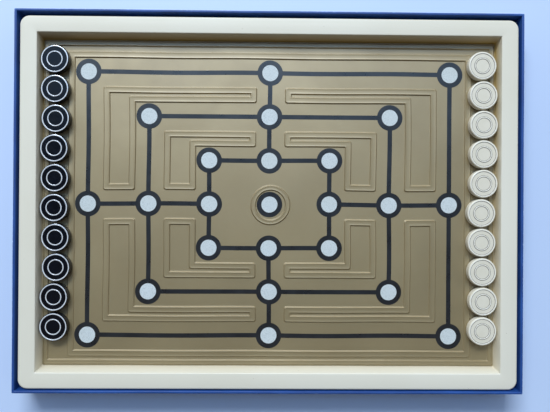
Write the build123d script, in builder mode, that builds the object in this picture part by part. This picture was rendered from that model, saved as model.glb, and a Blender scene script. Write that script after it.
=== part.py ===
"""Nine mens morris box: a paper-covered board box with a plastic tray, an embossed board and 20 pieces.

Units are millimetres.  +X runs along the box, +Y to its back, +Z up.
The origin is the middle of the underside.
"""

from build123d import *
import os

# ---------------------------------------------------------------- driving dimensions

# Box base: folded board under paper
box_length = 400.0
box_width = 300.0
box_height = 30.0
board_thickness = 1.4
paper_thickness = 0.3
turn_in_depth = 18.0        # paper folded over the rim and down the inside
fold_radius = 0.6           # paper rounding over the board's edges
stay_leg = 25.0             # gummed tape on each outside corner
stay_thickness = 0.15

# Plastic tray
tray_gap_ends = 2.0         # tray to box wall, left and right
tray_gap_sides = 2.0        # tray to box wall, front and back, when centred
tray_shift = -1.0           # the loose tray lies this far towards the front
tray_wall = 1.2
rim_drop = 1.0              # tray's top below the box's rim
tray_corner_radius = 7.5
tray_edge_radius = 1.6
flange_ends = 13.5
flange_sides = 13.0
well_depth = 12.1           # tray's top to the well's floor
well_slope_ends = 0.9       # how far each wall leans in over the depth
well_slope_sides = 2.4
well_edge_radius = 0.8
rib_thickness = 1.2
cross_rib_count = 2

# Embossed board sheet
sheet_gap = 0.4
sheet_thickness = 0.6
bead_height = 1.0
bead_foot = 0.1             # upright foot of each bead, under its 45 degree flanks
bead_width = 5.2
edge_bead_width = 4.0
edge_bead_inset = 2.8       # sheet's edge to the middle of the edge bead
border_gap_sides = 7.8      # edge bead to border bead at the front and back, middle to middle
ell_share = 0.514           # width of an L, middle to middle of its beads, against their gap to a line
centre_bead_width = 4.2
centre_bead_gap = 1.6       # middle ring to the bead round it
emboss_shift = (0.4, -1.0)  # beads from the sheet's middle

# Printed figure
line_width = 3.2
ring_gap = 1.7              # a point's ring to the beads beside it
spot_radius = 6.5
ink_thickness = 0.06
print_shift = (-0.4, -0.6)  # print from the sheet's middle

# Playing pieces
pieces_each = 10
piece_radius = 11.2
piece_height = 6.5
piece_shoulder = 0.9        # rounding of the outer edge
piece_land = 0.4            # flat crest of the raised rim
piece_rim_slope = 0.25
piece_recess = 0.4          # face below the rim
ring_line_radius = 6.0      # fine raised ring on the face
ring_line_width = 0.7
ring_line_height = 0.28
piece_bearing = 3.2         # edge and border beads stand this much closer than a piece is wide
row_gap = 0.6               # a row to the foot of the wall at its end of the well
pieces_gap_share = 0.266    # share of a row's spare length that lies between its pieces
black_row_lean = 0.542      # 0 in the middle of the well, 1 against its back wall
white_row_lean = 0.374
# hand-laid pieces: each one's nudge towards its end of the box
black_nudges = (0.5, 0.3, -0.4, 0.6, 0.1, 0.5, -0.7, -1.4, 0.2, 0.3)
white_nudges = (-0.9, 0.1, 0.5, 0.6, 0.5, -1.2, -0.9, -0.2, 0.6, 0.1)

# ---------------------------------------------------------------- worked-out sizes and levels

box_wall = board_thickness + 2 * paper_thickness
board_length = box_length - 2 * paper_thickness
board_width = box_width - 2 * paper_thickness
board_top = box_height - paper_thickness
box_floor = paper_thickness + board_thickness

tray_length = box_length - 2 * box_wall - 2 * tray_gap_ends
tray_width = box_width - 2 * box_wall - 2 * tray_gap_sides
tray_top = box_height - rim_drop
tray_height = tray_top - box_floor
well_length = tray_length - 2 * flange_ends
well_width = tray_width - 2 * flange_sides
floor_length = well_length - 2 * well_slope_ends
floor_width = well_width - 2 * well_slope_sides
well_floor = tray_top - well_depth
rib_height = well_floor - tray_wall - box_floor

sheet_length = floor_length - 2 * sheet_gap
sheet_width = floor_width - 2 * sheet_gap
sheet_top = well_floor + sheet_thickness
bead_top = sheet_top + bead_height

# beads: each piece lies on the edge bead and on the border bead
bead_slope = bead_height - bead_foot
edge_bead_x = sheet_length / 2 - edge_bead_inset
edge_bead_y = sheet_width / 2 - edge_bead_inset
border_x = edge_bead_x - (2 * piece_radius - piece_bearing)
border_y = edge_bead_y - border_gap_sides

# the printed figure: a row is an L with the same gap to the line on either side of it,
# and from the middle to the border bead come the rows of one half and one more such gap
rows_in_half = 3
bead_to_line = border_y / (rows_in_half * (ell_share + 2) + 1)
step_y = (ell_share + 2) * bead_to_line
step_x = (border_x - bead_to_line) / rows_in_half
ring_radius = bead_to_line - bead_width / 2 - ring_gap
centre_bead_radius = ring_radius + centre_bead_gap + centre_bead_width / 2

emboss_x, emboss_y = emboss_shift[0], tray_shift + emboss_shift[1]
print_x, print_y = print_shift[0], tray_shift + print_shift[1]

# rows of pieces
row_x = floor_length / 2 - piece_radius - row_gap
row_spare = floor_width - 2 * piece_radius * pieces_each
piece_gap = row_spare * pieces_gap_share / (pieces_each - 1)
piece_pitch = 2 * piece_radius + piece_gap
row_play = row_spare * (1 - pieces_gap_share) / 2
black_row_y = tray_shift + row_play * black_row_lean
white_row_y = tray_shift + row_play * white_row_lean


def level(height, x=0.0, y=0.0):
    """A horizontal drawing plane at a height, with its middle over (x, y)."""
    return Plane.XY.offset(height).shift_origin((x, y, height))


def tray_level(height):
    """A horizontal plane in the middle of the tray."""
    return level(height, 0.0, tray_shift)


def save(part, label):
    """Name a finished piece and write its file."""
    part.label = label
    export_step(part, f"parts/{label}.step")


os.makedirs("parts", exist_ok=True)

# ---------------------------------------------------------------- box base

# Four strips of tape, one round each outside corner of the board
with BuildPart() as corner_stays:
    with BuildSketch(level(paper_thickness)):
        Rectangle(board_length, board_width)
        Rectangle(board_length - 2 * stay_thickness, board_width - 2 * stay_thickness, mode=Mode.SUBTRACT)
        Rectangle(board_length - 2 * stay_leg, board_width, mode=Mode.SUBTRACT)
        Rectangle(board_length, board_width - 2 * stay_leg, mode=Mode.SUBTRACT)
    extrude(amount=board_top - paper_thickness)
save(corner_stays.part, "corner_stays")

# The board: one sheet scored and folded up into a tray, with the tape bedded into its corners
with BuildPart() as chipboard_tray:
    with BuildSketch(level(paper_thickness)):
        Rectangle(board_length, board_width)
    extrude(amount=board_top - paper_thickness)
    with BuildSketch(level(box_floor)):
        Rectangle(board_length - 2 * board_thickness, board_width - 2 * board_thickness)
    extrude(amount=box_height, mode=Mode.SUBTRACT)
    add(corner_stays.part, mode=Mode.SUBTRACT)
save(chipboard_tray.part, "chipboard_tray")

# The paper: under the floor, up the walls, over the rim and down inside
with BuildPart() as blue_wrap:
    with BuildSketch(level(0)):
        Rectangle(box_length, box_width)
    extrude(amount=box_height)
    with BuildSketch(level(paper_thickness)):
        Rectangle(board_length, board_width)
    extrude(amount=board_top - paper_thickness, mode=Mode.SUBTRACT)
    with BuildSketch(level(box_height - turn_in_depth)):
        Rectangle(board_length - 2 * board_thickness, board_width - 2 * board_thickness)
        Rectangle(box_length - 2 * box_wall, box_width - 2 * box_wall, mode=Mode.SUBTRACT)
    extrude(amount=turn_in_depth - paper_thickness)
    with BuildSketch(level(board_top)):
        Rectangle(box_length - 2 * box_wall, box_width - 2 * box_wall)
    extrude(amount=2 * paper_thickness, mode=Mode.SUBTRACT)
    upright_corners = blue_wrap.edges().filter_by(Axis.Z).group_by(SortBy.LENGTH)[-1]
    fillet(upright_corners, radius=fold_radius)
    fillet(blue_wrap.edges().group_by(Axis.Z)[-1], radius=fold_radius)
save(blue_wrap.part, "blue_wrap")

# ---------------------------------------------------------------- plastic tray


def well_block(skin, lower, mode):
    """A block with the well's four slopes, thicker by a skin all round and lower at its foot."""
    with Locations((0, tray_shift, tray_top)):
        Wedge(well_length + 2 * skin, well_depth + lower, well_width + 2 * skin,
              well_slope_ends, well_slope_sides,
              well_length + 2 * skin - well_slope_ends, well_width + 2 * skin - well_slope_sides,
              rotation=(-90, 0, 0), align=(Align.CENTER, Align.MIN, Align.CENTER), mode=mode)


def rims_the_well(edge):
    """True for an edge of the tray's top that runs round the well's mouth."""
    middle = edge.center()
    return (abs(middle.X) < tray_length / 2 - flange_ends / 2
            and abs(middle.Y - tray_shift) < tray_width / 2 - flange_sides / 2)


with BuildPart() as insert_tray:
    # outer skin, hollow underneath
    with BuildSketch(tray_level(box_floor)):
        RectangleRounded(tray_length, tray_width, tray_corner_radius)
    extrude(amount=tray_height)
    fillet(insert_tray.edges().group_by(Axis.Z)[-1], radius=tray_edge_radius)
    with BuildSketch(tray_level(box_floor)):
        RectangleRounded(tray_length - 2 * tray_wall, tray_width - 2 * tray_wall,
                         tray_corner_radius - tray_wall)
    extrude(amount=tray_height - tray_wall, mode=Mode.SUBTRACT)
    # the well: its sloping walls and floor, then the space inside it
    well_block(tray_wall, tray_wall, Mode.ADD)
    well_block(0.0, 0.0, Mode.SUBTRACT)
    top_edges = insert_tray.edges().group_by(Axis.Z)[-1].filter_by(GeomType.LINE)
    fillet([edge for edge in top_edges if rims_the_well(edge)], radius=well_edge_radius)
    # ribs that carry the well's floor on the bottom of the box
    with BuildSketch(tray_level(box_floor)):
        Rectangle(floor_length + tray_wall, rib_thickness)
        rib_spacing = floor_length / (cross_rib_count + 1)
        with GridLocations(rib_spacing, 0, cross_rib_count, 1):
            Rectangle(rib_thickness, floor_width + tray_wall)
    extrude(amount=rib_height + tray_wall / 2)
save(insert_tray.part, "insert_tray")

# ---------------------------------------------------------------- embossed board sheet

column_x = [step_x * (k + 1) for k in range(rows_in_half)]
row_y = [step_y * (k + 1) for k in range(rows_in_half)]


def ell_points(inner, outer, side_x, side_y, inset=0.0):
    """Corners of the outline between two printed rectangles, in one quarter of the board."""
    near = bead_to_line + inset
    x0, x1, x2 = near, column_x[inner] + near, column_x[outer] - near
    y0, y1, y2 = near, row_y[inner] + near, row_y[outer] - near
    corners = [(x0, y2), (x2, y2), (x2, y0), (x1, y0), (x1, y1), (x0, y1)]
    return [(side_x * x, side_y * y) for x, y in corners]


def rectangle_band(half_length, half_width, width):
    """A rectangular band for a bead, drawn in the current sketch."""
    Rectangle(2 * half_length + width, 2 * half_width + width)
    Rectangle(2 * half_length - width, 2 * half_width - width, mode=Mode.SUBTRACT)


def ell_band(inner, outer, side_x, side_y, width):
    """An L-shaped band for a bead, drawn in the current sketch."""
    Polygon(*ell_points(inner, outer, side_x, side_y, -width / 2), align=None)
    Polygon(*ell_points(inner, outer, side_x, side_y, width / 2), align=None, mode=Mode.SUBTRACT)


quarters = [(side_x, side_y) for side_x in (-1, 1) for side_y in (-1, 1)]


def bead_bands(height, narrower):
    """The outline of every bead at one height, each narrower by the same amount on both sides."""
    bands = []
    with BuildSketch(tray_level(height)) as edge_band:
        rectangle_band(edge_bead_x, edge_bead_y, edge_bead_width - 2 * narrower)
    bands.append(edge_band.sketch)
    with BuildSketch(level(height, emboss_x, emboss_y)) as border_band:
        rectangle_band(border_x, border_y, bead_width - 2 * narrower)
    bands.append(border_band.sketch)
    for inner, outer in ((0, 1), (1, 2)):
        for side_x, side_y in quarters:
            with BuildSketch(level(height, emboss_x, emboss_y)) as quarter_band:
                ell_band(inner, outer, side_x, side_y, bead_width - 2 * narrower)
            bands.append(quarter_band.sketch)
    with BuildSketch(level(height, emboss_x, emboss_y)) as centre_band:
        Circle(centre_bead_radius + centre_bead_width / 2 - narrower)
        Circle(centre_bead_radius - centre_bead_width / 2 + narrower, mode=Mode.SUBTRACT)
    bands.append(centre_band.sketch)
    return bands


with BuildPart() as board_sheet:
    with BuildSketch(tray_level(well_floor)):
        Rectangle(sheet_length, sheet_width)
    extrude(amount=sheet_thickness)
    for band in bead_bands(sheet_top, 0.0):
        extrude(band, amount=bead_height)
    crest_edges = board_sheet.edges().group_by(Axis.Z)[-1]
    chamfer(crest_edges, length=bead_slope)
    # the sheet is pressed from below, so each bead is hollow underneath
    for band in bead_bands(well_floor, bead_slope):
        extrude(band, amount=bead_height, mode=Mode.SUBTRACT)
save(board_sheet.part, "board_sheet")

# ---------------------------------------------------------------- printed figure

# The 24 playing points and the middle one
points = [(side_x * column_x[k], side_y * row_y[k]) for k in range(3) for side_x, side_y in quarters]
points += [(side * column_x[k], 0) for k in range(3) for side in (-1, 1)]
points += [(0, side * row_y[k]) for k in range(3) for side in (-1, 1)]
points += [(0, 0)]

with BuildPart() as line_print:
    with BuildSketch(level(sheet_top, print_x, print_y)):
        for k in range(3):
            for side in (-1, 1):
                with Locations((0, side * row_y[k])):
                    Rectangle(2 * column_x[k] + line_width, line_width)
                with Locations((side * column_x[k], 0)):
                    Rectangle(line_width, 2 * row_y[k] + line_width)
        for side in (-1, 1):
            with Locations((side * (column_x[0] + column_x[2]) / 2, 0)):
                Rectangle(column_x[2] - column_x[0], line_width)
            with Locations((0, side * (row_y[0] + row_y[2]) / 2)):
                Rectangle(line_width, row_y[2] - row_y[0])
        with Locations(*points):
            Circle(ring_radius)
            Circle(spot_radius, mode=Mode.SUBTRACT)
    extrude(amount=ink_thickness)
save(line_print.part, "line_print")

with BuildPart() as spot_print:
    with BuildSketch(level(sheet_top, print_x, print_y)):
        with Locations(*points):
            Circle(spot_radius)
    extrude(amount=ink_thickness)
save(spot_print.part, "spot_print")

# ---------------------------------------------------------------- playing pieces


def face_profile():
    """One face of a piece, from its middle to its edge, as radius and height below the crest."""
    crest = piece_radius - piece_shoulder
    rim_foot = crest - piece_land - piece_rim_slope
    ring_in = ring_line_radius - ring_line_width / 2
    ring_out = ring_line_radius + ring_line_width / 2
    bevel = ring_line_width / 4
    ring_depth = piece_recess - ring_line_height
    return [(0, piece_recess), (ring_in, piece_recess), (ring_in + bevel, ring_depth),
            (ring_out - bevel, ring_depth), (ring_out, piece_recess), (rim_foot, piece_recess),
            (crest - piece_land, 0), (crest, 0)]


def playing_piece(label, x, y):
    """One round piece standing on the beads at (x, y), with the same face above and below."""
    upright = Plane(origin=(x, y, bead_top), x_dir=(1, 0, 0), z_dir=(0, -1, 0))
    lower = face_profile()
    upper = [(r, piece_height - depth) for r, depth in face_profile()]
    crest = piece_radius - piece_shoulder
    with BuildPart() as piece:
        with BuildSketch(upright):
            with BuildLine():
                Polyline(*lower)
                RadiusArc((crest, 0), (piece_radius, piece_shoulder), -piece_shoulder)
                Line((piece_radius, piece_shoulder), (piece_radius, piece_height - piece_shoulder))
                RadiusArc((piece_radius, piece_height - piece_shoulder), (crest, piece_height),
                          -piece_shoulder)
                Polyline(*reversed(upper))
                Line(upper[0], lower[0])
            make_face()
        revolve(axis=Axis((x, y, 0), (0, 0, 1)))
    save(piece.part, label)
    return piece.part


def row_of_pieces(name, side, middle_y, nudges):
    """A row of pieces from the back to the front, at one end of the well."""
    row = []
    for k in range(pieces_each):
        y = middle_y + ((pieces_each - 1) / 2 - k) * piece_pitch
        x = side * (row_x + nudges[k % len(nudges)])
        row.append(playing_piece(f"{name}_piece_{k + 1:02d}", x, y))
    return row


black_pieces = row_of_pieces("black", -1, black_row_y, black_nudges)
white_pieces = row_of_pieces("white", 1, white_row_y, white_nudges)
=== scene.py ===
# %% [markdown]
# # A nine mens morris box
#
# A shallow blue box with its lid off. In it lies a cream plastic tray, in the tray's well lies a
# thin pressed sheet with the board printed on it, and a row of turned playing pieces lies at each
# end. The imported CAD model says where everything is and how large. Blender adds what a CAD model
# leaves out: soft edges, pressed beads, ink, scuffs and light. Lengths are in metres, and +Z is up.

# %% Load the frame
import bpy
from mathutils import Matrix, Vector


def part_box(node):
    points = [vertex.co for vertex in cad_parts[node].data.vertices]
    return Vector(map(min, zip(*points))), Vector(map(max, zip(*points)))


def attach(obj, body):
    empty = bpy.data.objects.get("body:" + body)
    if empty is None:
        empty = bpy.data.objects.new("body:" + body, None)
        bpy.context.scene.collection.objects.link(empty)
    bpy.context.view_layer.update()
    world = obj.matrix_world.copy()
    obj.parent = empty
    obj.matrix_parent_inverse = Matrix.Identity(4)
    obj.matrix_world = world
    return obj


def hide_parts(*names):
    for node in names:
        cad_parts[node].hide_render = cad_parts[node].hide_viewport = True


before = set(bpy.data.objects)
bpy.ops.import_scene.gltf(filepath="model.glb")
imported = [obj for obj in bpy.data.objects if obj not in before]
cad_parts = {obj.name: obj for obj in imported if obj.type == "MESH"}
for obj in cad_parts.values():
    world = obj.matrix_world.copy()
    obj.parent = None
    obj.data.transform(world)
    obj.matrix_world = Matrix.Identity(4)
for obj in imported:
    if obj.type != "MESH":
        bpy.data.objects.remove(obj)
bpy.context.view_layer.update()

# %% Other imports and the unit
import math
from functools import partial

import bmesh
import bpy
import numpy as np
from mathutils import Vector
from mathutils.geometry import delaunay_2d_cdt

MM = 0.001

# %% [markdown]
# ## Places and sizes
#
# The frame gives the outer box of every piece, so most places are read from it. Sizes inside a
# piece, such as a wall or the width of a bead, can't be read from a box, so they are named here.
# Each has the value that the solid has, apart from the print and the bead round the middle: a
# closer look at the photo made the lines and rings wider and that bead larger, by half a
# millimetre or so.

# %% Boxes of the main pieces
box_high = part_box("blue_wrap")[1]
tray_low, tray_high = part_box("insert_tray")
sheet_low, sheet_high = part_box("board_sheet")
ink_low, ink_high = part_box("line_print")
spot_low, spot_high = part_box("spot_print")
tray_y = (tray_low.y + tray_high.y) / 2
print("tray, mm:", [round(v / MM, 1) for v in tray_high - tray_low], "middle y", round(tray_y / MM, 2))

# %% Sizes inside the pieces
paper = 0.3 * MM
board = 1.4 * MM
turn_in = 18 * MM
tray_wall = 1.2 * MM
flange_ends, flange_sides = 13.5 * MM, 13.0 * MM
well_depth = 12.1 * MM
slope_ends, slope_sides = 0.9 * MM, 2.4 * MM
bead_height = 1.0 * MM
bead_width = 5.2 * MM
line_width = 3.6 * MM
ink_spread = 0.6 * MM
spot_radius = 6.5 * MM
edge_inset, edge_width = 2.8 * MM, 4.0 * MM
border_gap = 7.8 * MM
centre_gap, centre_width = 4.2 * MM, 4.2 * MM
print("paper and board, mm:", paper / MM, board / MM)

# %% [markdown]
# ## Helpers for meshes
#
# Most pieces here are shells made of rings: a closed outline that is repeated at many heights and
# joined by faces, as a potter would do it. One helper draws a rectangle with round corners as a
# ring, one joins rings, one gives a flat patch its thickness, and one turns points and faces into
# a finished object: its doubles are merged, its faces point outwards, and only its real corners
# stay sharp.

# %% Finish a mesh
def placed(name, data):
    """A new object of the scene that shows a mesh, a lamp or a lens."""
    thing = bpy.data.objects.new(name, data)
    bpy.context.scene.collection.objects.link(thing)
    return thing


def finished(name, mesh, sharp_above=40.0):
    """Link a mesh as an object, closed, facing outwards and smooth up to an angle in degrees."""
    shell = bmesh.new()
    shell.from_mesh(mesh)
    bmesh.ops.remove_doubles(shell, verts=shell.verts, dist=1e-7)
    bmesh.ops.recalc_face_normals(shell, faces=shell.faces)
    shell.to_mesh(mesh)
    open_edges = sum(1 for edge in shell.edges if not edge.is_manifold)
    triangles = sum(len(face.verts) - 2 for face in shell.faces)
    shell.free()
    mesh.shade_smooth()
    mesh.set_sharp_from_angle(angle=math.radians(sharp_above))
    print(name, "triangles:", triangles, "open edges:", open_edges)
    return placed(name, mesh)


def new_piece(name, points, faces, attributes=None, sharp_above=40.0):
    """An object from points and faces, with a number on every point for each attribute."""
    mesh = bpy.data.meshes.new(name)
    mesh.from_pydata(points, [], faces)
    for key, values in (attributes or {}).items():
        mesh.attributes.new(key, "FLOAT", "POINT").data.foreach_set("value", values)
    return finished(name, mesh, sharp_above)


def dress(piece, material, body, slot, *nodes):
    """Give a piece its material and its body, and hide the CAD nodes that it stands for. The slot is not
    used.
    """
    if material.name not in piece.data.materials:
        piece.data.materials.append(material)
    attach(piece, body)
    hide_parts(*nodes)


# %% Rings and lofts
def rounded_ring(half_x, half_y, radius, z, middle_y=0.0, side_steps=1, corner_steps=8):
    """A rectangle with round corners, as points all the way round at one height."""
    arcs = []
    for side_x, side_y, start in ((1, 1, 0), (-1, 1, 90), (-1, -1, 180), (1, -1, 270)):
        turns = [math.radians(start + 90 * k / corner_steps) for k in range(corner_steps + 1)]
        arcs.append([(side_x * (half_x - radius) + radius * math.cos(t),
                      middle_y + side_y * (half_y - radius) + radius * math.sin(t), z) for t in turns])
    ring = []
    for number, arc in enumerate(arcs):
        here, there = Vector(arc[-1]), Vector(arcs[(number + 1) % 4][0])
        ring += arc + [tuple(here.lerp(there, k / side_steps)) for k in range(1, side_steps)]
    return ring


def lofted(rings):
    """Points and faces of a closed shell through rings of equal length, capped at both ends."""
    count = len(rings[0])
    points = [point for ring in rings for point in ring]
    faces = [(row + i, row + (i + 1) % count, row + count + (i + 1) % count, row + count + i)
             for row in range(0, count * (len(rings) - 1), count) for i in range(count)]
    last = count * (len(rings) - 1)
    return points, faces + [tuple(range(count)), tuple(range(last, last + count))]


def thickened(faces, count):
    """Faces of a flat patch, of its copy below, and of the wall between their free edges."""
    below = [tuple(count + k for k in reversed(face)) for face in faces]
    sides = [side for face in faces for side in zip(face, face[1:] + face[:1])]
    shared = {(b, a) for a, b in sides}
    wall = [(b, a, count + a, count + b) for a, b in sides if (a, b) not in shared]
    return faces + below + wall


# %% [markdown]
# ## Helpers for nodes
#
# Shader trees and geometry trees are built with the same few lines: add a node, set it up, and
# give each input a value or a link. A node that carries on from others finds its tree by itself.
# A named input of a group is made with `interface.new_socket`.

# %% Add and link nodes
def link(source, target):
    """Join two sockets of one tree."""
    source.id_data.links.new(source, target)


def feed(node, inputs):
    """Give a node's named inputs their values or links."""
    for key, value in inputs.items():
        if isinstance(value, bpy.types.NodeSocket):
            link(value, node.inputs[key])
        else:
            node.inputs[key].default_value = value


def add_node(tree, kind, inputs=None, **settings):
    """A new node with its settings, and with a value or a link in each named input."""
    node = tree.nodes.new(kind)
    for key, value in settings.items():
        setattr(node, key, value)
    feed(node, inputs or {})
    return node


def derived(kind, inputs, **settings):
    """The first output of a new node in the tree that its inputs come from."""
    tree = next(term.id_data for term in inputs.values() if isinstance(term, bpy.types.NodeSocket))
    return add_node(tree, kind, inputs, **settings).outputs[0]


def grow(kind, inputs, **settings):
    """The same for a geometry node, with the short name of its kind."""
    return derived("GeometryNode" + kind, inputs, **settings)


# %% Arithmetic with nodes
def vector(**parts):
    """A vector from its parts X, Y and Z."""
    return derived("ShaderNodeCombineXYZ", parts)


def ramp(value, start, end, first=0.0, last=1.0):
    """A socket's value, taken from one range to another and held at the ends."""
    limits = {"From Min": start, "From Max": end, "To Min": first, "To Max": last}
    return derived("ShaderNodeMapRange", {"Value": value, **limits})


def calculate(operation, *terms):
    """One step of arithmetic on numbers and sockets."""
    return derived("ShaderNodeMath", dict(enumerate(terms)), operation=operation)


plus, minus = partial(calculate, "ADD"), partial(calculate, "SUBTRACT")
times, over = partial(calculate, "MULTIPLY"), partial(calculate, "DIVIDE")

# %% New trees
def new_tree(name, kind, inputs, outputs):
    """A node group with named inputs and outputs, and the sockets of both inside it."""
    tree = bpy.data.node_groups.new(name, kind)
    for label, (socket_type, value) in inputs.items():
        socket = tree.interface.new_socket(label, in_out="INPUT", socket_type=socket_type)
        if value is not None:
            socket.default_value = value
    for label, socket_type in outputs.items():
        tree.interface.new_socket(label, in_out="OUTPUT", socket_type=socket_type)
    return tree, tree.nodes.new("NodeGroupInput").outputs, tree.nodes.new("NodeGroupOutput").inputs


FLOAT, INTEGER, VECTOR = "NodeSocketFloat", "NodeSocketInt", "NodeSocketVector"


def new_geometry(name, inputs):
    """A geometry tree, which puts out geometry alone."""
    return new_tree(name, "GeometryNodeTree", inputs, {"Geometry": "NodeSocketGeometry"})


def new_effect(name, output, scale, inputs):
    """A shader group with a place and a scale among its inputs, which puts out one number."""
    inputs = {"Vector": (VECTOR, None), "Scale": (FLOAT, scale), **inputs}
    return new_tree(name, "ShaderNodeTree", inputs, {output: FLOAT})


# %% [markdown]
# ## Shared surface effects
#
# Four effects come back on several surfaces, so each is a shader group. *Mottling* is the slow
# drift in tone that no real surface lacks. *Fine grain* is the texture that a finger would feel.
# *Edge wear* marks broken patches where a piece carries a number near 1, as on a worn edge or in a
# dirty corner, and *specks* scatters small dots, for dust or for fibres. A group puts out a number
# that changes over the surface, and each material decides what it does with it.

# %% Mottling and fine grain
def noise(given, **values):
    """Noise at the place and the scale that a group is given."""
    return derived("ShaderNodeTexNoise", {"Vector": given["Vector"], "Scale": given["Scale"], **values})


mottling, given, result = new_effect(
    "mottling", "Value", 20.0, {"Detail": (FLOAT, 3.0), "Low": (FLOAT, 0.0), "High": (FLOAT, 1.0)})
drifting = noise(given, Detail=given["Detail"])
link(ramp(drifting, 0.3, 0.7, given["Low"], given["High"]), result["Value"])

fine_grain, given, result = new_effect(
    "fine_grain", "Height", 900.0, {"Stretch": (VECTOR, (1.0, 1.0, 1.0))})
stretched = derived("ShaderNodeVectorMath", {0: given["Vector"], 1: given["Stretch"]},
                    operation="MULTIPLY")
link(noise(given, Vector=stretched, Detail=2.0, Roughness=0.6), result["Height"])
print("groups:", mottling.name, fine_grain.name)

# %% Edge wear and specks
edge_wear, given, result = new_effect(
    "edge_wear", "Mask", 300.0,
    {"Edge": (FLOAT, 0.0), "Amount": (FLOAT, 0.5), "Softness": (FLOAT, 0.1)})
reach = plus(noise(given, Detail=4.0, Roughness=0.65), times(given["Edge"], given["Amount"]))
link(ramp(reach, 1.0, plus(1.0, given["Softness"])), result["Mask"])

specks, given, result = new_effect("specks", "Mask", 300.0, {"Size": (FLOAT, 0.15)})
distance = derived("ShaderNodeTexVoronoi", {"Vector": given["Vector"], "Scale": given["Scale"]})
link(ramp(distance, given["Size"], times(given["Size"], 0.6)), result["Mask"])
print("groups:", edge_wear.name, specks.name)

# %% Short ways to use them
def effect(tree, group, **inputs):
    """The output of a shared effect, placed in a material's tree with its own values."""
    named = {key.replace("_", " ").title(): value for key, value in inputs.items()}
    named["Vector"] = add_node(tree, "ShaderNodeTexCoord").outputs["Object"]
    return add_node(tree, "ShaderNodeGroup", named, node_tree=group).outputs[0]


def reading(tree, attribute):
    """The number that a piece carries on its points under a name."""
    return add_node(tree, "ShaderNodeAttribute", attribute_name=attribute).outputs["Fac"]


def mixed(factor, first, second):
    """A blend of two colours by a factor."""
    mix = add_node(factor.id_data, "ShaderNodeMix", {0: factor, 6: first, 7: second}, data_type="RGBA")
    return mix.outputs[2]


def bumped(height, distance, strength, **normal):
    """A normal that follows a height, with its full relief in metres, over another if one is given."""
    return derived("ShaderNodeBump",
                   {"Height": height, "Distance": distance, "Strength": strength, **normal})


# %% Materials
def tone(red, green, blue):
    """A colour as a paint shop would note it, from 0 to 255, in the linear numbers of a shader."""
    parts = [value / 255 for value in (red, green, blue)]
    return tuple(p / 12.92 if p <= 0.04045 else ((p + 0.055) / 1.055) ** 2.4 for p in parts) + (1.0,)


def new_material(name, **constants):
    """A material, its node tree and the inputs of its shader, with its constant values set."""
    material = bpy.data.materials.new(name)
    material.use_nodes = True
    shader = material.node_tree.nodes["Principled BSDF"]
    for key, value in constants.items():
        shader.inputs[key.replace("_", " ").title().replace("Ior", "IOR")].default_value = value
    return material, material.node_tree, shader.inputs


# The paper's real wear comes from this, and so do the sheet's painted highlight and darker bead feet and
# the pieces' painted shade.
def rubbed(color, mark, shade, scale, amount, softness):
    """A colour with another shade in broken patches, where a piece carries a mark on its points."""
    tree = color.id_data
    mask = effect(tree, edge_wear, edge=reading(tree, mark), scale=scale, amount=amount,
                  softness=softness)
    return mixed(mask, color, shade)


def finish(shader, color, normal, low, high, scale, detail=3.0):
    """Link a colour, a normal and a roughness that drifts from low to high to a shader."""
    drift = effect(color.id_data, mottling, scale=scale, detail=detail, low=low, high=high)
    for name, socket in (("Base Color", color), ("Roughness", drift), ("Normal", normal)):
        link(socket, shader[name])


# %% [markdown]
# ## The sheet's finish
#
# The board is a thin plastic sheet with a matt bronze lacquer. Metal lacquer reflects its own
# colour, so the shader is mostly metallic, but its flakes are small and scattered, so it is rough
# too, under a clear coat. A faint grain breaks the reflection and the tone drifts slowly. The edges
# of the beads' tops are paler, partly rubbed and partly a painted highlight, and the sheet is darker
# and browner at the beads' feet and in the hollow of their tops.

# %% Bronze lacquer
bronze, tree, shader = new_material("bronze_lacquer", metallic=0.85, coat_weight=1.0,
                                    coat_roughness=0.4, coat_ior=1.9)
drift = effect(tree, mottling, scale=14.0, detail=4.0)
color = mixed(drift, tone(160, 142, 102), tone(171, 153, 112))
# Painted highlight together with some rubbing: the edges of the beads' tops turn paler.
color = rubbed(color, "crest", tone(180, 166, 136), scale=160.0, amount=0.45, softness=0.35)
# Darker and browner at the beads' feet and in the hollow of their tops.
color = rubbed(color, "foot", tone(132, 108, 68), scale=220.0, amount=0.5, softness=0.5)
grain = effect(tree, fine_grain, scale=1400.0)
finish(shader, color, bumped(grain, 0.02 * MM, 0.5), low=0.6, high=0.68, scale=60.0)
print("material:", bronze.name)

# %% [markdown]
# ## Inks
#
# Screen-printed ink lies on the lacquer as a film, with a slight gloss of its own. The black is
# a touch uneven. The white had to go over the bronze, so it is stippled: in the photo its
# spots show a fine pattern of paler and greyer dots.

# %% Black and white ink
black_ink, tree, shader = new_material("black_ink", specular_ior_level=0.9)
color = mixed(effect(tree, mottling, scale=90.0), tone(22, 24, 28), tone(34, 36, 40))
grain = effect(tree, fine_grain, scale=1600.0)
finish(shader, color, bumped(grain, 0.02 * MM, 0.4), low=0.26, high=0.34, scale=120.0)

white_ink, tree, shader = new_material("white_ink")
stipple = effect(tree, specks, scale=1100.0, size=0.45)
color = mixed(stipple, tone(210, 219, 222), tone(188, 199, 202))
color = mixed(effect(tree, mottling, scale=40.0, low=0.0, high=0.35), color, tone(198, 204, 198))
finish(shader, color, bumped(stipple, 0.02 * MM, 0.6), low=0.38, high=0.5, scale=200.0)
print("materials:", black_ink.name, white_ink.name)
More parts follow.
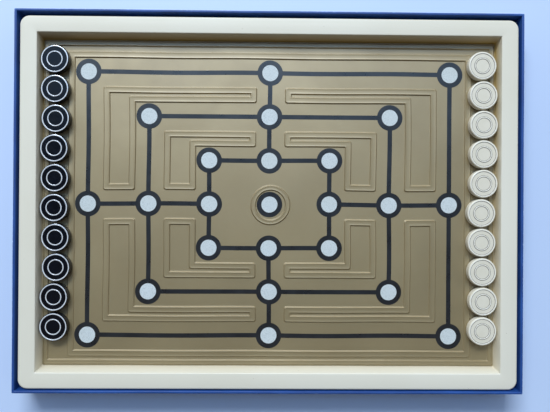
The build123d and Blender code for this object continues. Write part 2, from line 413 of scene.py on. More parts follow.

# %% [markdown]
# ## Plastics
#
# The tray is moulded in a warm off-white with a satin skin. Large thin mouldings are never quite
# flat, so a slow bump lets the light wander over the flange. The walls of the well are painted
# browner towards their foot, most on the back wall and least on the front: painted shade and a
# painted reflection of the bronze sheet. The pieces are harder and glossier, and after years of
# handling their gloss is uneven and holds dust. Their crests carry a painted highlight and their
# valleys painted shade: the black ones show pale rings of painted highlight, and the ivory ones
# dark lines of painted shade.

# %% Tray plastic
cream_plastic, tree, shader = new_material("cream_plastic", specular_ior_level=0.45)
drift = effect(tree, mottling, scale=9.0, detail=3.0)
color = mixed(drift, tone(226, 221, 204), tone(231, 227, 212))
color = mixed(effect(tree, specks, scale=120.0, size=0.035), color, tone(168, 158, 132))
# Painted shade and a painted reflection of the bronze sheet: the well's walls turn brown towards their
# foot, most on the back wall and least on the front.
painted_shade = times(calculate("POWER", reading(tree, "foot"), 1.1), 0.95)
color = mixed(painted_shade, color, tone(180, 148, 66))
slow = bumped(effect(tree, mottling, scale=16.0, detail=1.0), 0.25 * MM, 0.6)
grain = bumped(effect(tree, fine_grain, scale=1000.0), 0.015 * MM, 0.5, Normal=slow)
finish(shader, color, grain, low=0.38, high=0.5, scale=50.0)

# %% Plastics of the playing pieces
def piece_plastic(name, first, second, dust, crest, valley, shine):
    """Glossy moulded plastic between two tones, with dust, a painted highlight on its crests and painted
    shade in its valleys.
    """
    material, tree, shader = new_material(name, specular_ior_level=0.4)
    color = mixed(effect(tree, mottling, scale=120.0, detail=4.0), first, second)
    color = mixed(effect(tree, specks, scale=700.0, size=0.07), color, dust)
    # Painted highlight: the crests turn paler, and on the black pieces a little metallic.
    painted_highlight = effect(tree, edge_wear, edge=reading(tree, "crest"), scale=500.0, amount=1.5,
                  softness=0.25)
    color = mixed(painted_highlight, color, crest)
    # Painted shade: the valleys and grooves turn darker.
    color = rubbed(color, "valley", valley, scale=500.0, amount=1.2, softness=0.25)
    link(times(painted_highlight, shine), shader["Metallic"])
    scratches = effect(tree, fine_grain, scale=700.0, stretch=(1.0, 0.15, 1.0))
    finish(shader, color, bumped(scratches, 0.01 * MM, 0.35), low=0.13, high=0.26, scale=260.0,
           detail=4.0)
    return material


# Pale rings of painted highlight on the black pieces' crests, dark lines of painted shade in the ivory
# pieces' valleys and grooves.
black_plastic = piece_plastic("black_plastic", tone(4, 6, 12), tone(7, 11, 22), tone(62, 72, 88),
                              tone(240, 244, 250), tone(4, 5, 8), 0.3)
ivory_plastic = piece_plastic("ivory_plastic", tone(224, 218, 200), tone(230, 224, 208),
                              tone(176, 166, 142), tone(238, 234, 222), tone(96, 88, 80), 0.0)
print("materials:", cream_plastic.name, black_plastic.name, ivory_plastic.name)

# %% [markdown]
# ## Paper, board and tape
#
# The box is greyboard, folded up, taped at its corners and covered with blue paper. The paper
# has rubbed through along its folds to a pale blue and at the corners to white. The shell of
# paper carries a number on each point, near 1 on a fold, and the edge wear group breaks that up.

# %% Blue covering paper
blue_paper, tree, shader = new_material("blue_paper", coat_weight=0.08, coat_roughness=0.35)
color = mixed(effect(tree, mottling, scale=30.0, detail=4.0), tone(22, 62, 128), tone(32, 80, 156))
color = rubbed(color, "wear", tone(104, 152, 214), scale=330.0, amount=0.56, softness=0.25)
color = rubbed(color, "wear", tone(206, 214, 226), scale=520.0, amount=0.4, softness=0.06)
fibres = effect(tree, fine_grain, scale=800.0, stretch=(1.0, 0.4, 1.0))
finish(shader, color, bumped(fibres, 0.04 * MM, 0.6), low=0.42, high=0.6, scale=180.0)

# %% Greyboard and gummed tape
def fibre_stock(name, first, second, fibre, roughness):
    """Uncoated paper stock between two tones, with fibres of a third."""
    material, tree, shader = new_material(name)
    color = mixed(effect(tree, mottling, scale=150.0, detail=6.0), first, second)
    color = mixed(effect(tree, specks, scale=650.0, size=0.2), color, fibre)
    fibres = effect(tree, fine_grain, scale=900.0, stretch=(1.0, 0.5, 1.0))
    finish(shader, color, bumped(fibres, 0.06 * MM, 0.7), roughness, roughness + 0.1, 300.0)
    return material


greyboard = fibre_stock("greyboard", tone(170, 164, 152), tone(186, 180, 168), tone(132, 124, 110), 0.8)
kraft_tape = fibre_stock("kraft_tape", tone(186, 156, 112), tone(198, 170, 126), tone(160, 128, 86), 0.6)
print("materials:", blue_paper.name, greyboard.name, kraft_tape.name)

# %% [markdown]
# ## The box
#
# The greyboard and its tape keep their CAD meshes, because their plain folded shape is right, and
# take the new materials. The paper is rebuilt as a shell of rings: up the outside, over the rim
# in a soft fold, down the inside to the cut edge, and back up behind, against the board. Walls
# covered by hand aren't dead straight, so the outline dips by a tenth of a millimetre or two,
# always inwards from the CAD box.

# %% Greyboard and tape keep their meshes
for node, material in (("chipboard_tray", greyboard), ("corner_stays", kraft_tape)):
    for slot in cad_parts[node].material_slots:
        slot.material = material
    print(node, "shows", material.name)

# %% Rings of the paper shell
half_x, half_y, rim = box_high
fold = 0.6 * MM
bow = 0.18 * MM
inside = board + 2 * paper
hidden_corner, inner_corner, fold_corner = 0.3 * MM, 0.2 * MM, 1.8 * MM


def paper_ring(inset, level, radius, give=1.0):
    """The box's outline at a height, with the slight bow and the small dents of a paper wall."""
    ring = []
    outline = rounded_ring(half_x - inset, half_y - inset, radius, level, side_steps=90, corner_steps=4)
    for x, y, z in outline:
        dip = bow * give * (0.5 + 0.3 * math.sin(x * 31 + y * 17) + 0.2 * math.sin(x * 83 - y * 61))
        on_end = abs(x) > half_x - inset - radius
        on_side = abs(y) > half_y - inset - radius
        x -= math.copysign(dip, x) * on_end
        y -= math.copysign(dip, y) * on_side
        ring.append((x, y, z))
    return ring


def arc_rings(inset, level, start, stop, corner, steps=5):
    """Rings round a fold, from one angle to another, as its inset and height change."""
    for k in range(steps + 1):
        turn = math.radians(start + (stop - start) * k / steps)
        shift = inset + fold * (1 - math.sin(turn))
        yield paper_ring(shift, level + fold * math.cos(turn), max(corner - shift, 0.15 * MM))


rings = [paper_ring(board, paper, hidden_corner, 0), paper_ring(paper, paper, hidden_corner, 0),
         paper_ring(paper, rim - paper, hidden_corner),
         paper_ring(inside - paper, rim - paper, inner_corner),
         paper_ring(inside - paper, rim - turn_in, inner_corner),
         paper_ring(inside, rim - turn_in, inner_corner)]
rings += arc_rings(inside - 2 * fold, rim - fold, 270, 360, fold_corner)
rings += arc_rings(0, rim - fold, 0, 90, fold)
rings += [paper_ring(0, rim * share, fold) for share in (0.85, 0.6, 0.3)]
rings += arc_rings(0, fold, 90, 180, fold)
rings.append(paper_ring(9 * MM, 0.0, 0.4 * MM, 0))
points, faces = lofted(rings)
print("paper rings:", len(rings), "points each:", len(rings[0]))

# %% Wear on the folds of the paper
rim_wear, corner_wear, foot_wear = 1.6 * MM, 4 * MM, 1.2 * MM


def wear_at(x, y, z):
    """Near 1 on the rim and the upright corners, less along the bottom, and 0 on the walls."""
    from_wall = max(abs(x) - half_x, abs(y) - half_y)
    outside = 1.0 if from_wall > -0.5 * MM else 0.35
    corner = math.hypot(half_x - abs(x), half_y - abs(y))
    on_rim = outside * (1 - (rim - z) / rim_wear)
    on_corner = 1.25 * (1 - corner / corner_wear)
    on_foot = 0.8 * (1 - z / foot_wear) if from_wall > -2 * MM else 0.0
    return max(0.0, on_rim, on_corner, on_foot)


wrap = new_piece("blue_wrap_shell", points, faces, {"wear": [wear_at(*p) for p in points]}, 50.0)
dress(wrap, blue_paper, "box_base", "blue_paper", "blue_wrap")

# %% [markdown]
# ## The tray
#
# A thin moulding: its skirt stands on the bottom of the box, its flange is level, and its well is
# sunk with walls that lean out a little, so that it leaves the mould. One loft follows the
# section all the way from under the well's floor, up behind its walls, under the flange, down
# inside the skirt, and then back over the outside and down into the well.

# %% Section of the tray
tray_x, tray_half_y = tray_high.x, (tray_high.y - tray_low.y) / 2
mouth_x, mouth_y = tray_x - flange_ends, tray_half_y - flange_sides
floor_x, floor_y = mouth_x - slope_ends, mouth_y - slope_sides
top, bottom = tray_high.z, tray_low.z
well_floor = top - well_depth
under_floor, under_flange = well_floor - tray_wall, top - tray_wall
outer_corner, well_corner = 7.5 * MM, 0.5 * MM
edge_radius, mouth_radius, foot_radius = 1.6 * MM, 0.8 * MM, 0.5 * MM
soft, softer = 0.3 * MM, 0.8 * MM


def tray_ring(x, y, out, radius, z):
    """One outline of the tray, round its own middle and moved outwards."""
    return rounded_ring(x + out, y + out, radius, z, tray_y, corner_steps=10)


def skirt_ring(inset, z):
    """An outline of the tray's skirt, set in from its outer face."""
    return tray_ring(tray_x, tray_half_y, -inset, outer_corner - inset, z)


rings = [tray_ring(floor_x, floor_y, -4 * MM, well_corner, under_floor),
         tray_ring(floor_x, floor_y, tray_wall, 0.8 * MM, under_floor),
         tray_ring(mouth_x, mouth_y, tray_wall, 1.2 * MM, under_flange - soft),
         tray_ring(mouth_x, mouth_y, tray_wall + soft, 1.5 * MM, under_flange),
         skirt_ring(tray_wall + softer, under_flange), skirt_ring(tray_wall, under_flange - softer),
         skirt_ring(tray_wall, bottom), skirt_ring(soft, bottom), skirt_ring(0.0, bottom + soft)]
for step in range(7):
    turn = math.radians(15 * step)
    rings.append(skirt_ring(edge_radius * (1 - math.cos(turn)),
                            top - edge_radius * (1 - math.sin(turn))))
for step in range(6):
    turn = math.radians(17 * step)
    out = mouth_radius * (1 - math.sin(turn))
    rings.append(tray_ring(mouth_x, mouth_y, out, well_corner + out,
                           top - mouth_radius * (1 - math.cos(turn))))
for lift, back in ((1.0, 0.0), (0.45, 0.15), (0.15, 0.45), (0.0, 1.0)):
    share = foot_radius * lift / well_depth
    rings.append(tray_ring(floor_x + slope_ends * share, floor_y + slope_sides * share,
                           -foot_radius * back, well_corner, well_floor + foot_radius * lift))
rings.append(tray_ring(floor_x, floor_y, -6 * MM, 0.3 * MM, well_floor))
points, faces = lofted(rings)
wall_zone = 4 * MM


def grime_at(x, y, z):
    """Painted shade and painted reflection, from 0 at the well's mouth to 1 at its foot, less on the
    front wall and more on the back.
    """
    y -= tray_y
    if abs(x) > mouth_x + 0.1 * MM or abs(y) > mouth_y + 0.1 * MM or z > top:
        return 0.0
    depth = min(1.0, max(0.0, (top - z) / well_depth))
    if y > mouth_y - wall_zone:
        return min(1.0, 2.2 * depth)
    return 0.35 * depth if y < wall_zone - mouth_y else depth


# Each point of the tray carries its share of that painted shade as its foot number.
tray_shell = new_piece("tray_shell", points, faces, {"foot": [grime_at(*p) for p in points]}, 35.0)
dress(tray_shell, cream_plastic, "tray", "cream_plastic", "insert_tray")

# %% [markdown]
# ### Ribs under the tray
#
# The well's floor would sag without the ribs that stand on the bottom of the box: one along the
# tray and two across it. They repeat by a rule, so a small geometry tree makes them: a bar for
# the long rib, and a line of points with a bar on each for the cross ribs.

# %% Tree for the ribs
ribs_tree, given, result = new_geometry(
    "tray_ribs",
    {"Length": (FLOAT, 0.36), "Width": (FLOAT, 0.26), "Height": (FLOAT, 0.014),
     "Thickness": (FLOAT, 0.0012), "Cross ribs": (INTEGER, 2), "Place": (VECTOR, (0.0, 0.0, 0.0))})


def bar(x, y, z):
    """A bar of three sizes about the origin."""
    return grow("MeshCube", {"Size": vector(X=x, Y=y, Z=z)})


long_rib = bar(given["Length"], given["Thickness"], given["Height"])
cross_rib = bar(given["Thickness"], given["Width"], given["Height"])
spacing = over(given["Length"], plus(given["Cross ribs"], 1.0))
first = plus(times(given["Length"], -0.5), spacing)
line = grow("MeshLine", {"Count": given["Cross ribs"], "Start Location": vector(X=first),
                         "Offset": vector(X=spacing)})
row = grow("InstanceOnPoints", {"Points": line, "Instance": cross_rib})
joined = add_node(ribs_tree, "GeometryNodeJoinGeometry")
for part in (long_rib, row):
    link(part, joined.inputs[0])
moved = grow("Transform", {"Geometry": joined.outputs[0], "Translation": given["Place"]})
print("tree:", ribs_tree.name, "nodes:", len(ribs_tree.nodes))

# %% How a tree ends, and how it becomes a plain mesh
def end_tree(result, geometry, material):
    """Close a geometry tree: real faces in place of instances, with their material set."""
    real = grow("RealizeInstances", {"Geometry": geometry})
    link(grow("SetMaterial", {"Geometry": real, "Material": material}), result["Geometry"])


def grown_mesh(name, tree, **values):
    """The plain mesh that a geometry tree makes from its named inputs."""
    holder = placed(name, bpy.data.meshes.new(name))
    modifier = holder.modifiers.new(name, "NODES")
    modifier.node_group = tree
    for item in tree.interface.items_tree:
        key = item.name.lower().replace(" ", "_")
        if item.in_out == "INPUT" and key in values:
            modifier[item.identifier] = values.pop(key)
    assert not values, f"{name} has no input named {sorted(values)}"
    seen = holder.evaluated_get(bpy.context.evaluated_depsgraph_get())
    mesh = bpy.data.meshes.new_from_object(seen)
    bpy.data.objects.remove(holder)
    mesh.name = name
    return mesh


end_tree(result, moved, cream_plastic)
rib_height = well_floor - tray_wall - bottom
ribs_mesh = grown_mesh("tray_ribs", ribs_tree, length=2 * floor_x + tray_wall,
                       width=2 * floor_y + tray_wall, height=rib_height + tray_wall / 2,
                       thickness=tray_wall, cross_ribs=2,
                       place=(0.0, tray_y, bottom + rib_height / 2 + tray_wall / 4))
dress(finished("tray_ribs", ribs_mesh), cream_plastic, "tray", "cream_plastic", "insert_tray")

# %% [markdown]
# ## The pressed sheet
#
# The sheet is vacuum-pressed: beads run round its edge, round the board, round the middle and
# between the printed lines. A grid fine enough for their flanks would need millions of faces, so
# the beads are drawn as lines first, and the sheet is filled in between them.

# %% Where the beads run
sheet_x, sheet_half_y = sheet_high.x, (sheet_high.y - sheet_low.y) / 2
sheet_y = (sheet_high.y + sheet_low.y) / 2
sheet_top = sheet_high.z - bead_height
emboss = Vector((0.4 * MM, sheet_y - 1.0 * MM))
printed = Vector(((ink_low.x + ink_high.x) / 2, (ink_low.y + ink_high.y) / 2))
step_x = ((spot_high.x - spot_low.x) / 2 - spot_radius) / 3
step_y = ((spot_high.y - spot_low.y) / 2 - spot_radius) / 3
ring_radius = (ink_high.x - ink_low.x) / 2 - 3 * step_x
beads_apart = ring_radius + bead_width / 2 + 1.7 * MM
edge_bead = (sheet_x - edge_inset, sheet_half_y - edge_inset)
border_bead = (3 * step_x + beads_apart, edge_bead[1] - border_gap)
centre_bead = ring_radius + centre_gap
print("steps of the figure, mm:", round(step_x / MM, 2), round(step_y / MM, 2))

# %% Contour lines
def corners_of(half_x, half_y):
    """The corners of a rectangle round the middle."""
    return [(half_x, half_y), (-half_x, half_y), (-half_x, -half_y), (half_x, -half_y)]


def ell_corners(inner, outer, side_x, side_y):
    """The corners of the L between two printed rectangles, in one quarter of the board."""
    near = beads_apart
    x0, x1, x2 = near, step_x * inner + near, step_x * outer - near
    y0, y1, y2 = near, step_y * inner + near, step_y * outer - near
    corners = [(x0, y2), (x0, y1), (x1, y1), (x1, y0), (x2, y0), (x2, y2)]
    corners = [(side_x * x, side_y * y) for x, y in corners]
    return corners if side_x * side_y > 0 else corners[::-1]


def contour(corners, offset, middle, soft=1.0 * MM, spacing=5 * MM):
    """A closed line at an offset outwards from a figure with square corners, slightly rounded."""
    arcs = []
    for number, corner in enumerate(corners):
        corner = Vector(corner)
        came = (corner - Vector(corners[number - 1])).normalized()
        goes = (Vector(corners[(number + 1) % len(corners)]) - corner).normalized()
        bend = 1 if came.cross(goes) > 0 else -1
        corner += offset * Vector((came.y + goes.y, -came.x - goes.x))
        radius = soft + 0.25 * bend * offset
        centre = corner + radius * (goes - came)
        turns = [math.radians(22.5 * k) for k in range(5)]
        arcs.append([centre + radius * (came * math.sin(t) - goes * math.cos(t)) for t in turns])
    line = []
    for number, arc in enumerate(arcs):
        following = arcs[(number + 1) % len(arcs)][0]
        side = Vector(corners[(number + 1) % len(corners)]) - Vector(corners[number])
        steps = max(1, round(side.length / spacing))
        line += arc + [arc[-1].lerp(following, k / steps) for k in range(1, steps)]
    return [(point.x + middle[0], point.y + middle[1]) for point in line]


def circle(radius, middle, count=96):
    """A closed round line."""
    turns = [2 * math.pi * k / count for k in range(count)]
    return [(middle[0] + radius * math.cos(t), middle[1] + radius * math.sin(t)) for t in turns]


# %% [markdown]
# Each bead is drawn like a hill on a map: a set of contour lines from its foot to its top on
# both sides. The top is a little hollow, because each bead of the real sheet shows two thin
# bright lines. A triangulation that keeps every contour line as an edge then fills the whole
# sheet, so the flanks stay crisp and the flats cost almost nothing.

# %% Draw every bead as contour lines
flank, foot_spread, foot_line = 0.8 * MM, 0.15 * MM, 0.4 * MM
rises = (0.0, 0.15, 0.35, 0.65, 0.85, 1.0)
# Each line of the crown has an inset and a dip in mm, a mark for a crest and a mark for a foot.
crown = ((0.12, 0.0, 0.5, 0.0), (0.5, 0.07, 0.0, 0.1), (0.95, 0.11, 0.0, 0.2))
lines = [(contour(corners_of(sheet_x, sheet_half_y), 0.0, (0.0, sheet_y)), 0.0, 0.0, 0.0)]


def add_bead(outline, width):
    """Contour lines of one bead, where outline(offset) draws a line beside its middle line."""
    for side in (-1, 1):
        lines.append((outline(side * (width / 2 + foot_line)), 0.0, 0.0, 0.0))
        for rise in rises:
            height = bead_height * rise * rise * (3 - 2 * rise)
            offset = side * (width / 2 + foot_spread - flank * rise)
            lines.append((outline(offset), height, rise, 1.0 - rise))
        for inset, dip, crest, foot in crown:
            offset = side * (width / 2 + foot_spread - flank - inset * MM)
            lines.append((outline(offset), bead_height - dip * MM, crest, foot))


add_bead(lambda offset: contour(corners_of(*edge_bead), offset, (0.0, sheet_y)), edge_width)
add_bead(lambda offset: contour(corners_of(*border_bead), offset, emboss), bead_width)
for inner, outer in ((1, 2), (2, 3)):
    for side_x, side_y in ((1, 1), (-1, 1), (-1, -1), (1, -1)):
        ell = ell_corners(inner, outer, side_x, side_y)
        add_bead(lambda offset: contour(ell, offset, emboss), bead_width)
add_bead(lambda offset: circle(centre_bead + offset, emboss), centre_width)
print("contour lines:", len(lines))

# %% Fill the sheet between its contour lines
flat, edges, notes = [], [], []
for line, height, rise, foot in lines:
    first = len(flat)
    flat += [Vector(point) for point in line]
    edges += [(first + k, first + (k + 1) % len(line)) for k in range(len(line))]
    notes += [(height, rise, foot)] * len(line)
drawn = np.array(flat)
spacing, clear = 6 * MM, 3.2 * MM
for x in np.arange(-sheet_x + 5 * MM, sheet_x - 4 * MM, spacing):
    for y in np.arange(sheet_y - sheet_half_y + 5 * MM, sheet_y + sheet_half_y - 4 * MM, spacing):
        if np.min(np.hypot(drawn[:, 0] - x, drawn[:, 1] - y)) > clear:
            flat.append(Vector((x, y)))
            notes.append((0.0, 0.0, 0.0))
spots, _, triangles, sources, _, _ = delaunay_2d_cdt(flat, edges, [], 0, 1e-8)
notes = np.array([notes[source[0]] for source in sources])
print("points drawn:", len(flat), "points kept:", len(spots), "triangles:", len(triangles))

# %% [markdown]
# A sheet this thin never lies quite flat. One function holds its waves, which move a point
# sideways by up to a third of a millimetre and let it sag by up to a fifth. The print uses the
# same function, so that the ink follows the sheet.

# %% Waves of the sheet
def laid(points):
    """Points of a flat sheet, moved to where they are on the wavy one."""
    x, y, z = np.asarray(points, float).reshape(-1, 3).T / MM
    edge = np.minimum(sheet_x / MM - abs(x), sheet_half_y / MM - abs(y - sheet_y / MM))
    free = np.clip(edge / 25, 0, 1)
    along = 0.3 * free * np.sin(y / 15 + 1.3) * np.cos(x / 33 + 0.4)
    across = 0.3 * free * np.sin(x / 19 - 0.6) * np.cos(y / 41)
    sag = -0.11 * (1 - np.sin(x / 13.5 + 0.7 + 0.4 * np.sin(y / 22)) * np.cos(y / 11.5 - 0.4))
    return np.column_stack((x + along, y + across, z + sag)) * MM


# %% Close the sheet with its underside
skin = 0.35 * MM
upper = np.array([(p.x, p.y, sheet_top + note[0]) for p, note in zip(spots, notes)])
lower = upper - (0, 0, skin)
faces = thickened([tuple(face) for face in triangles], len(upper))
heights = {"crest": np.tile(notes[:, 1], 2), "foot": np.tile(notes[:, 2], 2)}
sheet = new_piece("pressed_sheet", laid(np.vstack((upper, lower))).tolist(), faces, heights, 60.0)
dress(sheet, bronze, "board", "gold_sheet", "board_sheet")

# %% [markdown]
# ## The printed figure
#
# Twenty-five points make the figure: in a lattice of seven by seven, they are the points on the
# middle row, on the middle column and on the diagonals. A geometry tree keeps just those, and two
# more trees set a ring of black and a spot of white on each of them. The ink has spread a little
# in printing, so the rings reach further out than the film of the CAD model.

# %% Tree that finds the points of the figure
figure_inputs = {"Step X": (FLOAT, 0.048), "Step Y": (FLOAT, 0.035),
                 "Place": (VECTOR, (0.0, 0.0, 0.0))}
figure_tree, given, result = new_geometry("figure_points", figure_inputs)
lattice = grow("MeshGrid", {"Size X": times(given["Step X"], 6.0), "Vertices X": 7,
                            "Size Y": times(given["Step Y"], 6.0), "Vertices Y": 7})
index = add_node(figure_tree, "GeometryNodeInputIndex").outputs[0]
column = minus(calculate("FLOOR", over(index, 7.0)), 3.0)
row = minus(calculate("MODULO", index, 7.0), 3.0)
uneven = minus(calculate("ABSOLUTE", column), calculate("ABSOLUTE", row))
off_lines = calculate("ABSOLUTE", times(times(column, row), uneven))
unwanted = calculate("GREATER_THAN", off_lines, 0.5)
kept = grow("DeleteGeometry", {"Geometry": lattice, "Selection": unwanted}, domain="POINT")
link(grow("Transform", {"Geometry": kept, "Translation": given["Place"]}), result["Geometry"])
print("tree:", figure_tree.name, "nodes:", len(figure_tree.nodes))

# %% Trees that print rings and spots on those points
def print_tree(name, extra_inputs, material, shape):
    """A tree that sets one flat shape on every point of the figure."""
    inputs = {**figure_inputs, "Film": (FLOAT, 0.00006), **extra_inputs}
    tree, given, result = new_geometry(name, inputs)
    points = grow("Group", {key: given[key] for key in figure_inputs}, node_tree=figure_tree)
    end_tree(result, grow("InstanceOnPoints", {"Points": points, "Instance": shape(given)}), material)
    return tree


def ring_shape(given):
    """A flat ring: a circle with a flat rectangle swept along it."""
    middle = times(plus(given["Inner"], given["Outer"]), 0.5)
    round_line = grow("CurvePrimitiveCircle", {"Resolution": 72, "Radius": middle})
    section = grow("CurvePrimitiveQuadrilateral",
                   {"Width": minus(given["Outer"], given["Inner"]), "Height": given["Film"]})
    return grow("CurveToMesh", {"Curve": round_line, "Profile Curve": section})


def disc_shape(given):
    """A flat disc with a few rings of points inside, so that it can follow the sheet."""
    return grow("MeshCylinder", {"Vertices": 72, "Fill Segments": 3, "Radius": given["Radius"],
                                 "Depth": given["Film"]})


# %% Rings and spots of ink
rings_tree = print_tree("printed_rings", {"Inner": (FLOAT, 0.0065), "Outer": (FLOAT, 0.0097)},
                        black_ink, ring_shape)
spots_tree = print_tree("printed_spots", {"Radius": (FLOAT, 0.0065)}, white_ink, disc_shape)
film_level = sheet_top + 0.02 * MM
figure = dict(step_x=step_x, step_y=step_y, place=(printed.x, printed.y, film_level), film=0.06 * MM)


def printed_piece(name, mesh, material, slot, node):
    """A print as an object, laid on the waves of the sheet."""
    points = np.empty(len(mesh.vertices) * 3)
    mesh.vertices.foreach_get("co", points)
    mesh.vertices.foreach_set("co", laid(points).ravel())
    dress(finished(name, mesh, 30.0), material, "board", slot, node)


ring_edge = ring_radius + ink_spread
rings_mesh = grown_mesh("figure_rings", rings_tree, inner=spot_radius, outer=ring_edge, **figure)
printed_piece("figure_rings", rings_mesh, black_ink, "black_ink", "line_print")
spots_mesh = grown_mesh("figure_spots", spots_tree, radius=spot_radius - 0.02 * MM, **figure)
printed_piece("figure_spots", spots_mesh, white_ink, "white_ink", "spot_print")

# %% [markdown]
# The 32 links between the rings are plain strips of the same film. Their ends are cut to the
# curve of the rings and reach a hair under them, so that no gap shows.

# %% Links of the figure
film_above, film_below, tuck = 0.025 * MM, 0.03 * MM, 0.1 * MM


def strip(start, end):
    """Points and faces of a strip of film between two points of the figure."""
    start, end = Vector(start), Vector(end)
    along = (end - start).normalized()
    beside = Vector((-along.y, along.x))
    rows = []
    for share in (-1, -0.5, 0, 0.5, 1):
        wide = share * line_width / 2
        trim = math.sqrt(ring_edge ** 2 - wide ** 2) - tuck
        first, last = start + along * trim + beside * wide, end - along * trim + beside * wide
        steps = max(2, round((last - first).length / (4 * MM)))
        rows.append([printed + first.lerp(last, k / steps) for k in range(steps + 1)])
    long = len(rows[0])
    flat = [point for row in rows for point in row]
    cells = [(r * long + k, r * long + k + 1, (r + 1) * long + k + 1, (r + 1) * long + k)
             for r in range(4) for k in range(long - 1)]
    points = [(p.x, p.y, film_level + lift) for lift in (film_above, -film_below) for p in flat]
    return points, thickened(cells, len(flat))


links = []
for k in (1, 2, 3):
    x, y = k * step_x, k * step_y
    for side in (-1, 1):
        links += [((-x, side * y), (0, side * y)), ((0, side * y), (x, side * y)),
                  ((side * x, -y), (side * x, 0)), ((side * x, 0), (side * x, y))]
        if k < 3:
            links += [((side * x, 0), (side * (x + step_x), 0)),
                      ((0, side * y), (0, side * (y + step_y)))]
points, faces = [], []
for start, end in links:
    more_points, more_faces = strip(start, end)
    faces += [tuple(len(points) + k for k in face) for face in more_faces]
    points += more_points
print("links:", len(links))
strips = new_piece("figure_links", laid(points).tolist(), faces, None, 30.0)
dress(strips, black_ink, "board", "black_ink", "line_print")

# %% [markdown]
# ## The playing pieces
#
# A playing piece is a turned shape: a face with a fine raised ring, a valley, a rim with a narrow
# flat crest, a rounded shoulder and two fine grooves round the side. A geometry tree does what a
# lathe does. It lists the corners of half a section, rounds them with a fillet, and turns the line
# about its axis by placing the points of a grid. All its sizes are named inputs. The ring and the
# crest are a little broader than the solid's, as they look in the photo.

# %% Tree that turns a piece
turned_inputs = {"Radius": 0.0112, "Height": 0.0065, "Shoulder": 0.0008, "Land": 0.0005,
                 "Rim slope": 0.00035, "Recess": 0.0004, "Ring radius": 0.0059, "Ring width": 0.0012,
                 "Ring height": 0.00036, "Grime": 0.00024, "Groove": 0.00014, "Softness": 0.00012,
                 "Turn": 0.0}
turned_sockets = {label: (FLOAT, value) for label, value in turned_inputs.items()}
turned_sockets["Segments"] = (INTEGER, 72)
turned_sockets["Place"] = (VECTOR, (0.0, 0.0, 0.0))
turned_sockets["Plastic"] = ("NodeSocketMaterial", None)
turned_tree, given, result = new_geometry("turned_piece", turned_sockets)
index = add_node(turned_tree, "GeometryNodeInputIndex").outputs[0]

# Each corner of the section is a radius, a level, a mark for a crest, which carries a painted
# highlight, and a mark for a valley, which carries painted shade that spreads a little onto the face.
radius, height, recess = given["Radius"], given["Height"], given["Recess"]
painted_shade, groove = given["Grime"], given["Groove"]
half_ring, bevel = times(given["Ring width"], 0.5), times(given["Ring width"], 0.32)
ring_in, ring_out = minus(given["Ring radius"], half_ring), plus(given["Ring radius"], half_ring)
ring_level = minus(recess, given["Ring height"])
crest_radius = minus(radius, plus(given["Shoulder"], given["Land"]))
rim_foot = minus(crest_radius, given["Rim slope"])
lower_face = [(0.0, recess, 0, 0), (minus(ring_in, painted_shade), recess, 0, 0), (ring_in, recess, 0, 1),
              (plus(ring_in, bevel), ring_level, 1, 0), (minus(ring_out, bevel), ring_level, 1, 0),
              (ring_out, recess, 0, 1), (plus(ring_out, painted_shade), recess, 0, 0),
              (minus(rim_foot, painted_shade), recess, 0, 0), (rim_foot, recess, 0, 1),
              (crest_radius, 0.0, 1, 0), (plus(crest_radius, given["Land"]), 0.0, 1, 0),
              (radius, 0.0, 0, 0)]
side = []
for share in (0.36, 0.64):
    level = times(height, share)
    side += [(radius, minus(level, groove), 0, 0), (minus(radius, groove), level, 0, 1),
             (radius, plus(level, groove), 0, 0)]
upper_face = [(r, minus(height, z), *marks) for r, z, *marks in reversed(lower_face)]
section = lower_face + side + upper_face
print("corners of the section:", len(section))

# %% Its section, rounded
def switched(data_type, values):
    """One value per point: the first for point 0, the second for point 1, and so on."""
    switch = add_node(turned_tree, "GeometryNodeIndexSwitch", data_type=data_type)
    for _ in range(len(values) - 2):
        switch.index_switch_items.new()
    feed(switch, {"Index": index, **{str(number): value for number, value in enumerate(values)}})
    return switch.outputs[0]


def stored(geometry, label, value):
    """The same geometry, with a number on each of its points under a name."""
    return grow("StoreNamedAttribute", {"Geometry": geometry, "Name": label, "Value": value},
                data_type="FLOAT", domain="POINT")


shoulders = (len(lower_face) - 1, len(lower_face) + len(side))
softness = [given["Shoulder" if k in shoulders else "Softness"] for k in range(len(section))]
chain = add_node(turned_tree, "GeometryNodeMeshLine", {"Count": len(section)}).outputs[0]
corners = switched("VECTOR", [vector(X=r, Z=z) for r, z, *marks in section])
outline = grow("SetPosition", {"Geometry": chain, "Position": corners})
for number, label in ((2, "crest"), (3, "valley")):
    outline = stored(outline, label, switched("FLOAT", [float(point[number]) for point in section]))
rounded = grow("FilletCurve", {"Curve": grow("MeshToCurve", {"Mesh": outline}), "Count": 3,
                               "Radius": switched("FLOAT", softness), "Limit Radius": True},
               mode="POLY")
size = add_node(turned_tree, "GeometryNodeAttributeDomainSize", {"Geometry": rounded},
                component="CURVE")
print("section made of nodes:", len(turned_tree.nodes))

# %% The section turned about its axis
around = plus(given["Segments"], 1.0)
grid = grow("MeshGrid", {"Vertices X": size.outputs["Point Count"], "Vertices Y": around})
along = calculate("FLOOR", over(plus(index, 0.5), around))
step = minus(index, times(along, around))
angle = plus(over(times(step, 2 * math.pi), given["Segments"]), given["Turn"])
position = add_node(turned_tree, "GeometryNodeInputPosition").outputs[0]


def sampled(data_type, value):
    """A value of the section at the place along it that a point of the grid stands for."""
    return grow("SampleIndex", {"Geometry": rounded, "Index": along, "Value": value},
                data_type=data_type, domain="POINT")


parts = add_node(turned_tree, "ShaderNodeSeparateXYZ", {0: sampled("FLOAT_VECTOR", position)}).outputs
turned = vector(X=times(parts["X"], calculate("COSINE", angle)),
                Y=times(parts["X"], calculate("SINE", angle)), Z=parts["Z"])
body = grow("SetPosition", {"Geometry": grid, "Position": turned, "Offset": given["Place"]})
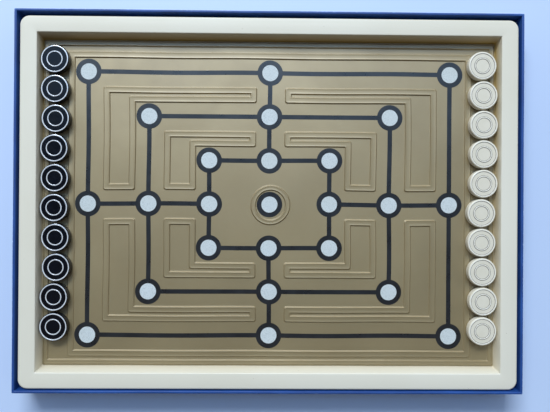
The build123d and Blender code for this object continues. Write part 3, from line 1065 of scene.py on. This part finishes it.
# The painted highlight stays on the crests near the faces, and the painted shade stays in every valley
# and groove.
depth = calculate("MINIMUM", parts["Z"], minus(height, parts["Z"]))
on_face = ramp(depth, 0.18 * MM, 0.42 * MM, 1.0, 0.0)
for label, share in (("crest", on_face), ("valley", 1.0)):
    named = add_node(turned_tree, "GeometryNodeInputNamedAttribute", {"Name": label}, data_type="FLOAT")
    body = stored(body, label, times(sampled("FLOAT", named.outputs["Attribute"]), share))
end_tree(result, grow("MergeByDistance", {"Geometry": body, "Distance": 0.001 * MM}), given["Plastic"])
print("tree:", turned_tree.name, "nodes:", len(turned_tree.nodes))

# %% Twenty pieces
for colour, material, slot in (("black", black_plastic, "black_plastic"),
                               ("white", ivory_plastic, "ivory_plastic")):
    for number in range(1, 11):
        node = f"{colour}_piece_{number:02d}"
        low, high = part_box(node)
        middle = (low + high) / 2
        mesh = grown_mesh(f"{node}_turned", turned_tree, radius=(high.x - low.x) / 2,
                          height=high.z - low.z, place=(middle.x, middle.y, low.z),
                          turn=0.7 * number, plastic=material)
        dress(finished(f"{node}_turned", mesh, 75.0), material, node, slot, node)

# %% [markdown]
# ## Table, light and camera
#
# The box lies on a plain pale table. The photo's shadows say that its main light stands high
# behind the box, a little to the left, and is wide enough to blur them. The room does the rest:
# it is brighter behind and dim and warm in front, and the ceiling is dark apart from one lit
# patch, which gives the sheet its cool sheen. The black faces see the ceiling and stay dark.
# The camera itself sees a plain pale backdrop instead of the room.

# %% Table
table_material, tree, shader = new_material("table_top", roughness=0.45)
color = mixed(effect(tree, mottling, scale=2.5), tone(198, 218, 250), tone(203, 222, 252))
link(color, shader["Base Color"])
span = 4.0
table_mesh = bpy.data.meshes.new("table_top")
table_mesh.from_pydata([(x, y, 0.0) for x, y in corners_of(span, span)], [], [(0, 1, 2, 3)])
table_mesh.materials.append(table_material)
placed("table_top", table_mesh)
print("table, m:", 2 * span)

# %% Window
lamp = bpy.data.lights.new("window", "AREA")
lamp.shape, lamp.energy, lamp.color = "RECTANGLE", 93.0, (0.87, 0.94, 1.0)
lamp.size, lamp.size_y = 1.9, 0.8
window = placed("window", lamp)
window.location = (-0.45, 2.1, 2.35)
window.rotation_euler = (-window.location).to_track_quat("-Z", "Y").to_euler()
print("window, m:", lamp.size, lamp.size_y)

# %% Room
world = bpy.data.worlds.new("room")
bpy.context.scene.world = world
world.use_nodes = True
tree = world.node_tree
direction = add_node(tree, "ShaderNodeTexCoord").outputs["Generated"]
parts = add_node(tree, "ShaderNodeSeparateXYZ", {0: direction}).outputs
room = mixed(ramp(parts["Z"], 0.5, 0.95), (0.36, 0.39, 0.43, 1.0), (0.06, 0.075, 0.10, 1.0))
lit_patch = times(ramp(parts["Z"], 0.8, 0.9), ramp(parts["Y"], 0.1, 0.38))
room = mixed(lit_patch, room, (0.7, 1.2, 1.9, 1.0))
room = mixed(ramp(parts["Y"], 0.0, -0.6), room, (0.40, 0.35, 0.28, 1.0))
brighter_behind = ramp(parts["Y"], -0.6, 0.6, 0.25, 1.6)
room = derived("ShaderNodeVectorMath", {0: room, 1: brighter_behind}, operation="MULTIPLY")
seen = add_node(tree, "ShaderNodeLightPath").outputs["Is Camera Ray"]
link(mixed(seen, room, (0.80, 0.84, 0.90, 1.0)), tree.nodes["Background"].inputs["Color"])
print("world:", world.name)

# %% Camera
lens = bpy.data.cameras.new("camera")
lens.lens, lens.sensor_width = 36.0, 36.0
lens.clip_start = 0.01
camera = placed("camera", lens)
camera.location = (-1.145 * MM, -3.764 * MM, 460.25 * MM)
camera.rotation_euler = [math.radians(angle) for angle in (0.1096, -0.7078, 0.3733)]
bpy.context.scene.camera = camera
bpy.context.scene.view_settings.view_transform = "Standard"
print("camera:", [round(v / MM, 1) for v in camera.location])
